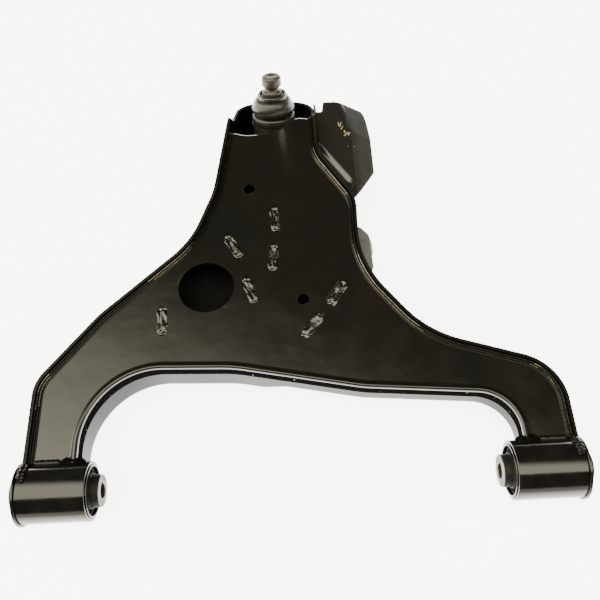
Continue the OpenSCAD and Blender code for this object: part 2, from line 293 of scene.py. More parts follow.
def piece(name, parts, finish, replaced, body="root", merge=0.02, up=None):
    """One object from several lots of points (in mm) and faces. up is 1 or -1 for a sheet that has
    to face up or down."""
    mesh = bpy.data.meshes.new(name)
    shape = bmesh.new()
    for co, faces in parts:
        made = [shape.verts.new(Vector(p) * MM) for p in co]
        for f in faces:
            if len(set(f)) > 2:
                shape.faces.new([made[i] for i in f])
    bmesh.ops.remove_doubles(shape, verts=shape.verts, dist=merge * MM)
    loose = [v for v in shape.verts if not v.link_faces]
    bmesh.ops.delete(shape, geom=loose, context="VERTS")
    bmesh.ops.recalc_face_normals(shape, faces=shape.faces)
    if up is not None:
        tilt = sum(f.normal.z * f.calc_area() for f in shape.faces)
        if tilt * up < 0:
            bmesh.ops.reverse_faces(shape, faces=shape.faces)
    for f in shape.faces:
        f.smooth = True
    shape.to_mesh(mesh)
    shape.free()
    obj = linked(name, mesh)
    mesh.materials.append(finish)
    if replaced:
        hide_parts(*replaced)
    if body:
        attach(obj, body)
    return obj


def apply_modifiers(obj):
    """Leaves the piece with the mesh that its modifiers make."""
    graph = bpy.context.evaluated_depsgraph_get()
    mesh = bpy.data.meshes.new_from_object(obj.evaluated_get(graph))
    obj.modifiers.clear()
    obj.data = mesh


def thicken(obj, edge):
    """Turns an outer surface into pressed sheet with broken edges of that size."""
    solid = obj.modifiers.new("sheet", "SOLIDIFY")
    solid.thickness = SHEET * MM
    solid.offset = -1
    solid.use_quality_normals = True
    bevel = obj.modifiers.new("edge", "BEVEL")
    bevel.width = edge * MM
    bevel.segments = 3
    bevel.limit_method = "ANGLE"
    bevel.angle_limit = math.radians(50)
    bevel.use_clamp_overlap = True
    apply_modifiers(obj)
    weigh(obj)


def weigh(obj):
    """Shades flat faces flat, and the bends between them round."""
    weight = obj.modifiers.new("flat", "WEIGHTED_NORMAL")
    weight.weight = 60
    apply_modifiers(obj)


# ---------- shader nodes ----------
def ramp(tree, value, low, high, start, end, ease="LINEAR"):
    """A value that goes from start to end while the one given goes from low to high."""
    node = tree.nodes.new("ShaderNodeMapRange")
    node.interpolation_type = ease
    for socket, number in (("From Min", low), ("From Max", high), ("To Min", start), ("To Max", end)):
        node.inputs[socket].default_value = number
    tree.links.new(value, node.inputs["Value"])
    return node.outputs["Result"]


def times(tree, a, b):
    node = tree.nodes.new("ShaderNodeMath")
    node.operation = "MULTIPLY"
    tree.links.new(a, node.inputs[0])
    tree.links.new(b, node.inputs[1])
    return node.outputs["Value"]


def mixed(tree, share, a, b):
    """Colour a that fades to colour b. Each is a tuple or another node's output."""
    node = tree.nodes.new("ShaderNodeMix")
    node.data_type = "RGBA"
    tree.links.new(share, node.inputs["Factor"])
    for value, socket in ((a, node.inputs["A"]), (b, node.inputs["B"])):
        if isinstance(value, tuple):
            socket.default_value = (*value, 1)
        else:
            tree.links.new(value, socket)
    return node.outputs["Result"]


# ---------- materials ----------
def look(name, colour, other, patch, rough, grain, bumps, metallic=0.0, coat=0.0, coat_rough=0.1,
         specular=0.5, edge_wear_and_glint=None, glint_flecks=None):
    """A procedural finish. colour fades to other in patches of that size (mm), rough is the range of
    roughness, grain is the size of its mottling, and bumps are (size, depth) in mm. edge_wear_and_glint
    is (colour, share, the pointiness it starts at) for the edges, which is edge wear on most finishes and
    painted glints on the welds, and glint_flecks is (colour, size, share) for flecks of painted glint."""
    material = bpy.data.materials.new(name)
    material.use_nodes = True
    tree = material.node_tree
    add, link = tree.nodes.new, tree.links.new
    shader = tree.nodes["Principled BSDF"]
    for socket, number in (("Metallic", metallic), ("Specular IOR Level", specular),
                           ("Coat Weight", coat), ("Coat Roughness", coat_rough)):
        shader.inputs[socket].default_value = number
    place = add("ShaderNodeTexCoord").outputs["Object"]

    def mottle(size, detail=3.0):
        n = add("ShaderNodeTexNoise")
        n.inputs["Scale"].default_value = 1 / (size * MM)
        n.inputs["Detail"].default_value = detail
        link(place, n.inputs["Vector"])
        return n.outputs["Fac"]

    shade = mixed(tree, ramp(tree, mottle(patch), 0.35, 0.65, 0, 1), colour, other)
    roughness = ramp(tree, mottle(grain), 0.3, 0.7, *rough)
    # flecks of painted glint
    if glint_flecks:
        glint_colour, size, share = glint_flecks
        shown = ramp(tree, mottle(size, 2.0), 1 - share - 0.03, 1 - share + 0.03, 0, 1)
        shade = mixed(tree, shown, shade, glint_colour)
    # lighter pointy edges: edge wear on most finishes, painted glints on the welds
    if edge_wear_and_glint:
        edge_tint, share, start = edge_wear_and_glint
        pointed = add("ShaderNodeNewGeometry").outputs["Pointiness"]
        shade = mixed(tree, ramp(tree, pointed, start, start + 0.08, 0, share), shade, edge_tint)
    link(shade, shader.inputs["Base Color"])
    link(roughness, shader.inputs["Roughness"])
    normal = None
    for size, depth in bumps:
        b = add("ShaderNodeBump")
        b.inputs["Strength"].default_value = 1.0
        b.inputs["Distance"].default_value = depth * MM
        link(mottle(size, 2.0), b.inputs["Height"])
        if normal:
            link(normal, b.inputs["Normal"])
        normal = b.outputs["Normal"]
    link(normal, shader.inputs["Normal"])
    return material


PAINT = look("arm_paint", (0.0056, 0.0058, 0.0052), (0.0082, 0.0064, 0.0052), 60, (0.10, 0.18), 25,
             [(34, 0.30), (3, 0.008)], coat=0.10, coat_rough=0.08, specular=0.42,
             edge_wear_and_glint=((0.03, 0.028, 0.024), 0.4, 0.54))
PAN = look("pan_paint", (0.0045,) * 3, (0.007, 0.007, 0.0065), 40, (0.14, 0.24), 20,
           [(30, 0.25), (3, 0.008)], specular=0.07, edge_wear_and_glint=((0.03, 0.028, 0.024), 0.4, 0.54))
# Matte black for the floor's upper side inside the box: painted shade.
INSIDE_PAINTED_SHADE = look("arm_inside_painted_shade", (0.003,) * 3, (0.005, 0.005, 0.0045), 20, (0.6, 0.8), 10,
              [(8, 0.10)], specular=0.06)
# Dark weld whose lighter pointy edges are painted glints.
WELD = look("weld", (0.004, 0.004, 0.0036), (0.008, 0.007, 0.0055), 6, (0.12, 0.24), 3,
            [(3.0, 0.14), (0.9, 0.02)], specular=0.18, edge_wear_and_glint=((0.16, 0.15, 0.13), 0.5, 0.62))
# A brighter, metallic copy of the weld for the rim bead's up-facing crests: painted highlights.
GLINT = look("weld_painted_glint", (0.060, 0.052, 0.040), (0.150, 0.128, 0.095), 4, (0.12, 0.24), 3,
             [(3.0, 0.10), (0.9, 0.02)], metallic=0.85, coat=0.5, edge_wear_and_glint=((0.30, 0.26, 0.20), 0.4, 0.60))
# Black weld that reflects nothing: painted shade; its flecks and lighter pointy edges are painted glints.
PAINTED_SHADE_AND_GLINT_WELD = look("arch_weld", (0.003,) * 3, (0.006, 0.0055, 0.005), 4, (0.5, 0.7), 3,
            [(2.4, 0.30), (0.8, 0.06)], specular=0.0, edge_wear_and_glint=((0.20, 0.18, 0.14), 0.5, 0.66),
            glint_flecks=((0.30, 0.27, 0.20), 5.0, 0.27))
# Pitted plug weld; its flecks and lighter pointy edges are painted glints.
PLUG = look("plug_weld", (0.003, 0.0028, 0.0024), (0.008, 0.0065, 0.005), 5, (0.08, 0.2), 3,
            [(2.2, 0.45), (0.9, 0.08)], coat=0.6, edge_wear_and_glint=((0.42, 0.37, 0.28), 0.7, 0.64),
            glint_flecks=((0.40, 0.35, 0.26), 3.0, 0.275))
BRACKET = look("bracket_paint", (0.0115, 0.0115, 0.0105), (0.0135, 0.0130, 0.0118), 25, (0.17, 0.22), 30,
               [(26, 0.16), (3, 0.004)], coat=0.25, specular=0.5, edge_wear_and_glint=((0.04, 0.038, 0.034), 0.4, 0.54))
# A lighter, unreflecting copy of the pad's paint for its bent faces: painted light.
FLANGE_PAINTED_LIGHT = look("bracket_flange_painted_light", (0.020, 0.020, 0.019), (0.028, 0.027, 0.025), 22, (0.45, 0.6), 9,
              [(20, 0.15)], specular=0.02, edge_wear_and_glint=((0.05, 0.048, 0.044), 0.4, 0.54))
TAB = look("side_bracket_paint", (0.13, 0.13, 0.134), (0.10, 0.10, 0.104), 12, (0.40, 0.55), 6,
           [(9, 0.12), (1.5, 0.01)], specular=0.4, edge_wear_and_glint=((0.16, 0.16, 0.155), 0.5, 0.54))
TUBE = look("tube_paint", (0.0040,) * 3, (0.007, 0.0065, 0.006), 20, (0.11, 0.18), 10,
            [(16, 0.10), (2, 0.006)], specular=0.45, edge_wear_and_glint=((0.05, 0.046, 0.04), 0.4, 0.54))
SLEEVE = look("sleeve_steel", (0.20, 0.195, 0.185), (0.14, 0.135, 0.13), 5, (0.38, 0.55), 2,
              [(1.2, 0.03)], metallic=1.0, edge_wear_and_glint=((0.40, 0.39, 0.37), 0.5, 0.54))
# Dark brown, darker than the sleeve's steel, for the sleeve's bore.
BORE = look("sleeve_bore_dark_brown", (0.035, 0.022, 0.014), (0.015, 0.010, 0.007), 4, (0.6, 0.8), 2,
            [(1.5, 0.06)], specular=0.15)
RUBBER = look("bush_rubber", (0.0065,) * 3, (0.012, 0.0115, 0.011), 9, (0.50, 0.70), 3,
              [(0.8, 0.03), (4, 0.05)], specular=0.14)
BOOT = look("boot_rubber", (0.0110, 0.0106, 0.0094), (0.019, 0.0178, 0.0155), 12, (0.33, 0.43), 4,
            [(0.7, 0.008), (6, 0.10)], specular=0.5, edge_wear_and_glint=((0.04, 0.038, 0.034), 0.3, 0.56))
STUD = look("stud_steel", (0.095, 0.09, 0.076), (0.055, 0.052, 0.044), 6, (0.36, 0.52), 2,
            [(1.0, 0.03), (0.4, 0.012)], metallic=0.6, specular=0.3, edge_wear_and_glint=((0.26, 0.25, 0.22), 0.6, 0.54))
HOUSING = look("housing_steel", (0.020, 0.020, 0.019), (0.038, 0.035, 0.031), 7, (0.28, 0.45), 3,
               [(1.5, 0.04)], metallic=0.3, edge_wear_and_glint=((0.12, 0.115, 0.11), 0.6, 0.54))
RING = look("ring_steel", (0.10, 0.10, 0.095), (0.06, 0.058, 0.056), 5, (0.28, 0.42), 2,
            [(1.0, 0.02)], metallic=0.85, edge_wear_and_glint=((0.32, 0.31, 0.30), 0.7, 0.54))
SEAT = look("seat_plastic", (0.72, 0.69, 0.60), (0.64, 0.61, 0.52), 8, (0.35, 0.5), 3, [(1.5, 0.02)])
BARE = look("bare_weld", (0.34, 0.28, 0.17), (0.12, 0.10, 0.06), 2, (0.30, 0.50), 2, [(1.4, 0.2)],
            metallic=0.5, edge_wear_and_glint=((0.60, 0.52, 0.36), 0.6, 0.56))


# ---------- heights of the pressings ----------
CREASE_TOP, CREASE_FOOT = np.array([-9.0, 402.0]), np.array([0.0, 316.0])
FIELD_RISE = 4.2  # how far the field in front of the crease rises at the mouth


def plate_height(points):
    """Top of the upper shell: nearly flat, with a raised field in front of a stamped crease."""
    along = CREASE_TOP - CREASE_FOOT
    length = np.linalg.norm(along)
    u = along / length
    rel = points - CREASE_FOOT
    side = rel[:, 0] * u[1] - rel[:, 1] * u[0]  # in front of the crease is positive
    reach = np.clip((rel @ u + 6) / length, 0, 1.1) ** 1.3 * smooth_step((rel @ u + 6) / 22)
    field = smooth_step((side + 4) / 11) * reach * smooth_step((42 - side) / 26)
    valley = np.exp(-((side + 2) / 6) ** 2) * reach
    return (PLATE_Z - 1.6 + FIELD_RISE * field - 1.0 * valley
            + 0.16 * waves(points, 90, 1) + 0.06 * waves(points, 34, 2))


def floor_height(points):
    """Outer face of the lower shell's floor."""
    x, y = points[:, 0], points[:, 1]
    base = FLOOR_Z - np.maximum(0, y - DROOP_Y) * math.tan(TILT)
    slope = 22 / 42
    belly = np.maximum(np.maximum(-20 - (y - 14), BELLY_Z + (y - 220) * slope), BELLY_Z + (x + 34) * slope)
    belly = np.maximum(belly, BELLY_Z)
    return np.maximum(soft_min(base, belly, 3), np.minimum(base, belly))


def rim_height(y):
    """Top of the outer wall: level, then falling away round the ball joint."""
    return np.interp(y, [420, 424, 430, 484], [RIM_Z, RIM_Z - 1, 3, -24.7])


# ---------- the two shells ----------
PATH_STEP = 3.0
FILLET = 5.0  # outside radius between the wall and the floor
LIP_WIDTH = 9.0  # of the upper shell's raised lip along the arch
ROLL = 2.9  # width of the mouth's edge that is rolled down
HOUSING_HOLE_Y, HOUSING_HOLE_R = 431.03, 25.05  # for the ball joint, in the sloping floor
outer_path, outer_in = outline_path(*OUTER, PATH_STEP)
arch_path, arch_in = outline_path(*ARCH, PATH_STEP)


def upper_shell():
    edge = outer_path + outer_in * (SHEET + FIT)
    mouth = softened(np.array(MOUTH, float))
    middle = len(edge) // 2
    front = [p for k, p in enumerate(edge) if p[1] < FRONT_END_Y and k < middle]
    rear = [p for k, p in enumerate(edge) if p[1] < REAR_END_Y and k >= middle]
    mouth = mouth[(mouth[:, 0] < front[-1][0] + 1) & (mouth[:, 0] > rear[0][0] + 1)]
    arch_edge = arch_path + arch_in * LIP_WIDTH
    loop = np.array(list(front) + list(mouth) + list(rear) + list(arch_edge))
    holes = [circle(*ACCESS, 72)] + [circle(*h, 24) for h in GAUGE_HOLES]
    holes += [stadium(*p, PLUG_LEN, PLUG_W) for p in PLUGS]
    collars = []
    for grow in (1.6, 3.6):
        collars += [circle(h[0], h[1], h[2] + grow, 40) for h in [ACCESS] + GAUGE_HOLES]
        collars += [stadium(*p, PLUG_LEN + 2 * grow, PLUG_W + 2 * grow) for p in PLUGS]
    # the mouth's edge is rolled down a little
    along = np.gradient(mouth, axis=0)
    along /= np.linalg.norm(along, axis=1)[:, None]
    inwards = np.stack([-along[:, 1], along[:, 0]], 1)
    for back in (0.9, 1.8, ROLL):
        ring = mouth + inwards * back
        collars.append(ring[inside(ring, loop) & (nearest(ring, loop) > (0.85 * back) ** 2)])
    points, faces = filled(loop, holes, 6.0, 2.2, collars)
    to_mouth = np.sqrt(nearest(points, mouth))
    rolled = 1.3 * (1 - smooth_step(to_mouth / ROLL + 0.12)) ** 1.5
    plate = np.column_stack([points, plate_height(points) - rolled])
    # the arch's raised lip and its skirt
    foot = plate_height(arch_edge)
    lip = [(LIP_WIDTH, foot), (8.0, foot), (6.9, foot + 0.4), (5.9, foot + 1.3), (5.0, RIM_Z - 2.2),
           (4.1, RIM_Z - 0.9), (3.2, RIM_Z - 0.25), (2.3, RIM_Z), (1.4, RIM_Z - 0.25), (0.65, RIM_Z - 0.8),
           (0.15, RIM_Z - 1.6), (0, RIM_Z - 2.6), (0, RIM_Z - 4.2), (1.4, RIM_Z - 4.8), (1.6, 7.0),
           (1.6, 2.0), (1.6, SKIRT_Z)]
    co, lip_faces = strip(arch_path, arch_in, [d for d, _ in lip], [z for _, z in lip])
    shell = piece("upper_shell_pressing", [(cope(plate), faces), (cope(co), lip_faces)], PAINT,
                  ["upper_shell"], up=1)
    thicken(shell, 0.7)


def lower_shell():
    bands = 9
    bend = np.radians(np.linspace(0, 90, 7))
    parts = []
    floor_rings = []
    for path, inwards, shift, top in ((outer_path, outer_in, 0, None),
                                      (arch_path, arch_in, SHEET + FIT, PLATE_Z - SHEET - FIT)):
        rim = rim_height(path[:, 1]) if top is None else np.full(len(path), top)
        foot = floor_height(path + inwards * shift) + FILLET
        depth, height = [], []
        for k in range(bands):
            depth.append(np.full(len(path), shift))
            height.append(rim + (foot - rim) * k / bands)
        for a in bend:
            d = shift + FILLET * (1 - math.cos(a))
            depth.append(np.full(len(path), d))
            height.append(floor_height(path + inwards * d) + FILLET * (1 - math.sin(a)))
        co, faces = strip(path, inwards, depth, height)
        parts.append((cope(co), faces))
        floor_rings.append(path + inwards * (shift + FILLET))
    loop = np.concatenate(floor_rings)
    housing_hole = circle(BALL.x, HOUSING_HOLE_Y, HOUSING_HOLE_R, 56, math.cos(TILT))
    holes = [housing_hole] + [circle(*h, 28) for h in DRAINS]
    points, faces = filled(loop, holes, 8.0, 3.0)
    floor = np.column_stack([points, floor_height(points)])
    shell = piece("lower_shell_pressing", parts + [(cope(floor), faces)], PAN,
                  ["lower_shell"], up=-1)
    thicken(shell, 1.1)
    shell.data.materials.append(INSIDE_PAINTED_SHADE)
    # the floor's upper side, well below the plate, gets a matte black of painted shade
    for face in shell.data.polygons:
        if face.normal.z > 0.5 and face.center.z < (PLATE_Z - 12) * MM:
            face.material_index = 1


# ---------- welds along the shells ----------
PUDDLE_PITCH = 2.6


def drift(distances, size, a, b):
    """A smooth random value at each distance. a and b choose which."""
    return np.array([noise.noise(Vector((v / size, a, b))) for v in distances])


def ripple(path, seed):
    """Heights along a path like the overlapping puddles of a weld bead, about 0 to 1."""
    step = np.linalg.norm(np.diff(path, axis=0, prepend=path[:1]), axis=1)
    s = np.cumsum(step)
    phase = s / PUDDLE_PITCH + 1.2 * drift(s, 9, seed * 3.1, 0)
    return (1 - (phase % 1) ** 2), s


def bead_along(path, inwards, section, seed, strength):
    """A rippled bead. section is a closed list of (depth, height, share that ripples)."""
    puddle, s = ripple(path, seed)
    swell = drift(s, 23, seed * 1.7, 4)
    rows = []
    for k, (_, _, share) in enumerate(section):
        rough = drift(s, 1.7, k * 0.9, seed)
        rows.append(share * strength * (puddle * 0.8 + 0.5 * rough + 0.6 * swell))
    depth = [np.full(len(path), d) + 0.4 * r for (d, _, _), r in zip(section, rows)]
    height = [z + r for (_, z, _), r in zip(section, rows)]
    co, faces = strip(path, inwards, depth + [depth[0]], height + [height[0]])
    starts = tuple(k * len(path) for k in range(len(section)))
    ends = tuple(k + len(path) - 1 for k in starts)
    return co, faces + [starts, ends[::-1]]


# Where the rim bead's crests get the brighter finish of painted highlights: [x, y, reach]
GLINT_ZONES = [(58, 345, 32), (82, 200, 38), (104, 158, 26), (-128, 232, 36), (243, 98, 15), (-240, 96, 14)]
CREST_Z = 12.2  # only the bead's crests above this get the painted highlight


def rim_weld():
    path, inwards = outline_path(*OUTER, 1.0)
    low = PLATE_Z - 2.2
    section = [(2.6, low, 0), (2.6, 12.6, 0), (3.4, 12.4, 0.2), (3.8, 12.9, 0.4), (4.2, 13.7, 0.8),
               (4.7, 13.9, 0.9), (5.2, 13.4, 0.9), (5.6, 12.2, 0.5), (5.9, 11.5, 0.4), (6.2, 11.9, 0.8),
               (6.7, 12.7, 1.0), (7.2, 12.6, 0.9), (7.6, 11.7, 0.6), (7.9, 10.9, 0.4), (8.3, 11.1, 0.6),
               (8.7, 11.0, 0.4), (9.1, 10.3, 0.1), (8.6, low, 0)]
    middle = len(path) // 2
    keep_front = [k for k in range(middle) if path[k][1] < FRONT_END_Y + 1]
    keep_rear = [k for k in range(middle, len(path)) if path[k][1] < REAR_END_Y + 0.5]
    parts = []
    for seed, keep in ((1, keep_front), (2, keep_rear)):
        lumpy = 0.20 + 0.75 * smooth_step((150 - path[keep][:, 1]) / 50) * (seed == 1)
        co, faces = bead_along(path[keep], inwards[keep], section, seed, lumpy)
        parts.append((cope(co), faces))
    obj = piece("rim_weld_bead", parts, WELD, ["rim_weld"])
    # Up-facing crests in the glint zones get the brighter finish: painted highlights.
    obj.data.materials.append(GLINT)
    for face in obj.data.polygons:
        x, y, z = face.center / MM
        patchy = noise.noise(Vector((x / 14, y / 14, z * 1.3))) * 16
        in_glint_zone = any(math.hypot(x - cx, y - cy) < reach + patchy for cx, cy, reach in GLINT_ZONES)
        if in_glint_zone and z > CREST_Z and face.normal.z > 0.5:
            face.material_index = 1


def arch_weld():
    """The broad run of weld between the upper shell's lip and the lower shell's wall, dark with a finish of
    painted shade.
    """
    path, inwards = outline_path(*ARCH, 0.9)
    low = SKIRT_Z - 4.4
    section = [(3.0, 11.8, 0), (1.0, 11.9, 0.1), (0.55, 10.6, 0.7), (0.5, 8.8, -0.5), (0.3, 6.6, 0.8),
               (0.25, 4.2, -0.6), (0.3, 2.0, 0.8), (0.35, -0.4, -0.5), (0.6, -2.8, 0.7), (1.4, -5.0, -0.5),
               (2.6, low + 0.7, 0.2), (3.5, low, 0), (3.6, 2.0, 0)]
    co, faces = bead_along(path, inwards, section, 3, 0.38)
    piece("arch_weld_bead", [(cope(co), faces)], PAINTED_SHADE_AND_GLINT_WELD, ["arch_weld"])


def plug_welds():
    """Each slot is filled by a pitted puddle: rings that shrink towards the middle."""
    parts = []
    for seed, (x, y, angle) in enumerate(PLUGS):
        rings = 9
        loops = []
        base = float(plate_height(np.array([[x, y]]))[0])
        lengthwise = np.array([math.cos(math.radians(angle)), math.sin(math.radians(angle))])
        for k in range(rings):
            share = 1 - k / (rings - 0.35)
            spread = 4.0 if k else 0.9
            width = (PLUG_W + spread) * share - 0.1
            loop = stadium(x, y, angle, PLUG_LEN - PLUG_W - 0.9 * spread + width, width, 14)
            loops.append(loop)
        co = []
        count = len(loops[0])
        for k, loop in enumerate(loops):
            crown = math.sin(min(1, k / 3) * math.pi / 2)
            for p in loop:
                along = (p - np.array([x, y])) @ lengthwise
                wobble = 0.4 * noise.noise(Vector((p[0] / 5, p[1] / 5, seed)))
                puddle = abs((along / 4.2 + wobble) % 1 - 0.5) * 2
                rough = noise.fractal(Vector((p[0] / 3.2, p[1] / 3.2, seed * 5.0)), 0.8, 2.1, 4)
                z = base - 1.5 + 1.95 * crown + 1.1 * rough * crown - 0.9 * puddle * crown
                z = min(z, PLATE_Z + 1.2)
                shift = 1.5 * noise.noise(Vector((p[0] / 4, p[1] / 4, seed + 30.0))) * (0 if k == 0 else 1)
                co.append((p[0] + shift, p[1] + shift, base - SHEET if k == 0 else z))
        faces = quads(rings, count, ring=True)
        faces.append(tuple((rings - 1) * count + j for j in range(count)))
        faces.append(tuple(range(count))[::-1])
        parts.append((np.array(co), faces))
    piece("plug_weld_puddles", parts, PLUG, ["plug_welds"], merge=0.001)


# ---------- turned parts ----------
def softened_profile(points, r):
    """A closed profile with its corners cut to a small radius."""
    out = []
    n = len(points)
    for i in range(n):
        a, b, c = (np.array(points[(i + k) % n], float) for k in (-1, 0, 1))
        before, after = np.linalg.norm(b - a), np.linalg.norm(c - b)
        if b[0] < 1e-6 or min(before, after) < 1e-6:
            out.append(b)
            continue
        cut = min(r, 0.4 * before, 0.4 * after)
        p, q = b + (a - b) / before * cut, b + (c - b) / after * cut
        out += [p, 0.25 * p + 0.5 * b + 0.25 * q, q]
    return np.array(out)


def turned(profile, segments=96, r=0.5, shape=None):
    """A solid of revolution about Z from (radius, height) points. shape may move the points."""
    profile = softened_profile(profile, r)
    rings = len(profile)
    turn = np.linspace(0, 2 * math.pi, segments, endpoint=False)
    co = np.zeros((rings, segments, 3))
    for k, (radius, z) in enumerate(profile):
        dr, dz = shape(turn, radius, z) if shape else (0, 0)
        co[k, :, 0] = (radius + dr) * np.cos(turn)
        co[k, :, 1] = (radius + dr) * np.sin(turn)
        co[k, :, 2] = z + dz
    on_axis = profile[:, 0] < 1e-6
    faces = [f for f in quads(rings, segments, ring=True, loop=True)
             if not (on_axis[f[0] // segments] and on_axis[f[2] // segments])]
    return co.reshape(-1, 3), faces


def placed(part, matrix):
    """The part moved by a matrix that is in millimetres."""
    co, faces = part
    spin = np.array(matrix.to_3x3())
    return co @ spin.T + np.array(matrix.translation), faces


def along_pivot(side):
    """From a part drawn about +Z to the front (1) or rear (-1) bushing, flange outboard."""
    return Matrix.Translation((side * TUBE_MID, 0, 0)) @ Matrix.Rotation(side * math.pi / 2, 4, "Y")


BALL_FRAME = Matrix.Translation(BALL) @ Matrix.Rotation(-TILT, 4, "X")


def sharpen(obj, angle):
    """Marks edges sharper than the angle, so that turned faces stay crisp."""
    shape = bmesh.new()
    shape.from_mesh(obj.data)
    for e in shape.edges:
        if len(e.link_faces) == 2 and e.calc_face_angle(0) > math.radians(angle):
            e.smooth = False
    shape.to_mesh(obj.data)
    shape.free()


def bushings():
    sleeve_low, sleeve_high = span("front_inner_sleeve")
    end = (sleeve_high[0] - sleeve_low[0]) / 2
    sleeve_r = sleeve_high[2]
    shell_r = TUBE_R - 3
    flange_r = span("front_bushing_shell")[1][2]
    rubber_r = shell_r - 1.8
    bore = 7.25
    teeth = 36

    def serrated(turn, radius, z):
        if abs(z) > end - 0.5 and bore + 1.2 < radius < sleeve_r - 0.4:
            tooth = (turn * teeth / (2 * math.pi)) % 1
            return 0, -np.sign(z) * 0.55 * np.abs(2 * tooth - 1)
        return 0, 0

    def moulded(turn, radius, z):
        return 0.05 * np.sin(turn * 5) + 0.04 * np.sin(turn * 11 + 1), 0.12 * np.sin(turn * 3 + z)

    for side, where in ((1, "front"), (-1, "rear")):
        at = along_pivot(side)
        h = TUBE_HALF
        tube = [(shell_r, -h), (TUBE_R, -h), (TUBE_R, -h / 3), (TUBE_R, h / 3), (TUBE_R, h), (shell_r, h)]
        weigh(piece(f"{where}_tube_turned", [placed(turned(tube, 144, 0.7), at)], TUBE,
                    [f"{where}_bushing_tube"]))
        shell = [(rubber_r, -h - 1.2), (shell_r - 0.02, -h - 1.2), (shell_r - 0.02, h + 0.06),
                 (flange_r, h + 0.06), (flange_r, h + 2.5), (rubber_r + 1, h + 2.5), (rubber_r, h + 1.5)]
        weigh(piece(f"{where}_cartridge_turned", [placed(turned(shell, 144, 0.6), at)], TUBE,
                    [f"{where}_bushing_shell"]))
        e, i, o = h - 2, sleeve_r + 0.05, rubber_r - 0.05
        half = [(i, e + 3), (i + 1.2, e + 3), (i + 2.2, e - 1), (i + 3, e - 5.5), (i + 4, e - 7),
                (o - 3.2, e - 7), (o - 2.2, e - 6), (o - 1.2, e - 0.8), (o - 0.4, e)]
        profile = half + [(r, -z) for r, z in reversed(half)]
        piece(f"{where}_rubber_moulded", [placed(turned(profile, 96, 0.6, moulded), at)],
              RUBBER, [f"{where}_bushing_rubber"])
        body = [(bore, -end + 1), (bore + 1, -end), (bore + 1.3, -end), (sleeve_r - 1.0, -end),
                (sleeve_r, -end + 1), (sleeve_r, end - 1), (sleeve_r - 1.0, end), (bore + 1.3, end),
                (bore + 1, end), (bore, end - 1)]
        obj = piece(f"{where}_sleeve_serrated", [placed(turned(body, teeth * 6, 0.25, serrated), at)],
                    SLEEVE, [f"{where}_inner_sleeve"], body=f"{where}_sleeve")
        sharpen(obj, 30)
        obj.data.materials.append(RUBBER)
        obj.data.materials.append(BORE)
        for face in obj.data.polygons:
            x, y, z = face.center / MM
            if abs(x - side * TUBE_MID) < end - 1.1:
                face.material_index = 1 if math.hypot(y, z) > sleeve_r - 0.2 else 2


def in_ball_frame(name, profile, finish, node, body="root", segments=96, r=0.4, shape=None,
                  blended=None):
    """A part turned about the stud's axis. blended, if given, leaves it attached to no body, with its
    transform baked in; its bodies and heights are not used.
    """
    obj = piece(name, [placed(turned(profile, segments, r, shape), BALL_FRAME)], finish, [node],
                body=None if blended else body)
    if blended:
        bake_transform(obj)
    else:
        sharpen(obj, 40)


